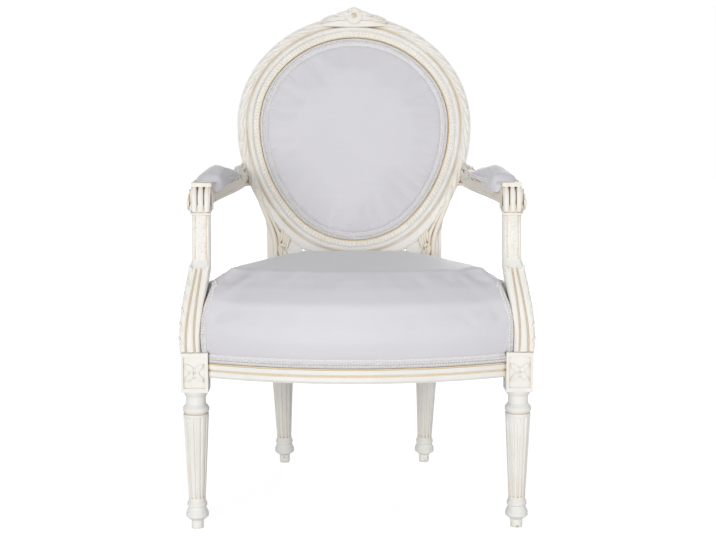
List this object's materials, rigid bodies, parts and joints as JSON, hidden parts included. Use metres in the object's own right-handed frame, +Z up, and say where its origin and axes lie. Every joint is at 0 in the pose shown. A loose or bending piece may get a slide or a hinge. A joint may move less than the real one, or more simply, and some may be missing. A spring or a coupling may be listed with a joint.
{
  "type": "medallion back armchair",
  "caption": "Open armchair with an oval upholstered back, crowned seat, padded scroll arms and turned, fluted legs in painted wood.",
  "frame": {"origin": "on the floor, in the middle of the chair's box", "axes": "+X to the right seen from the front, +Y to the back, +Z up; the chair faces -Y"},
  "size_m": [0.6554, 0.6715, 1.0027],
  "materials": {
    "painted_wood": "antique white paint, rubbed to ochre in the grooves",
    "bare_beech": "planed, unpainted",
    "satin_cover": "pale lavender grey satin weave",
    "gimp_braid": "woven braid",
    "stuffing": "teased hair and wadding",
    "jute": "coarse woven webbing and hessian",
    "cambric": "thin black dust cloth"
  },
  "bodies": {
    "root": {"front_leg_right": "painted_wood", "front_leg_left": "painted_wood", "front_rail": "painted_wood", "side_rail_right": "painted_wood", "side_rail_left": "painted_wood", "back_rail": "painted_wood", "corner_block_front_right": "bare_beech", "corner_block_front_left": "bare_beech", "corner_block_rear_right": "bare_beech", "corner_block_rear_left": "bare_beech", "back_post_right": "painted_wood", "back_post_left": "painted_wood", "crest_rail": "painted_wood", "back_lower_rail": "painted_wood", "oval_tongues": "bare_beech", "arm_post_right": "painted_wood", "arm_post_left": "painted_wood", "arm_right": "painted_wood", "arm_left": "painted_wood", "arm_pad_right": "satin_cover", "arm_pad_left": "satin_cover", "arm_pad_gimp_right": "gimp_braid", "arm_pad_gimp_left": "gimp_braid", "seat_webbing": "jute", "seat_hessian": "jute", "seat_foam": "stuffing", "seat_cover": "satin_cover", "seat_gimp": "gimp_braid", "dust_cover": "cambric", "back_webbing": "jute", "back_lining": "jute", "back_foam": "stuffing", "back_cover": "satin_cover", "back_gimp": "gimp_braid", "outside_back": "satin_cover"}
  },
  "joints": []
}
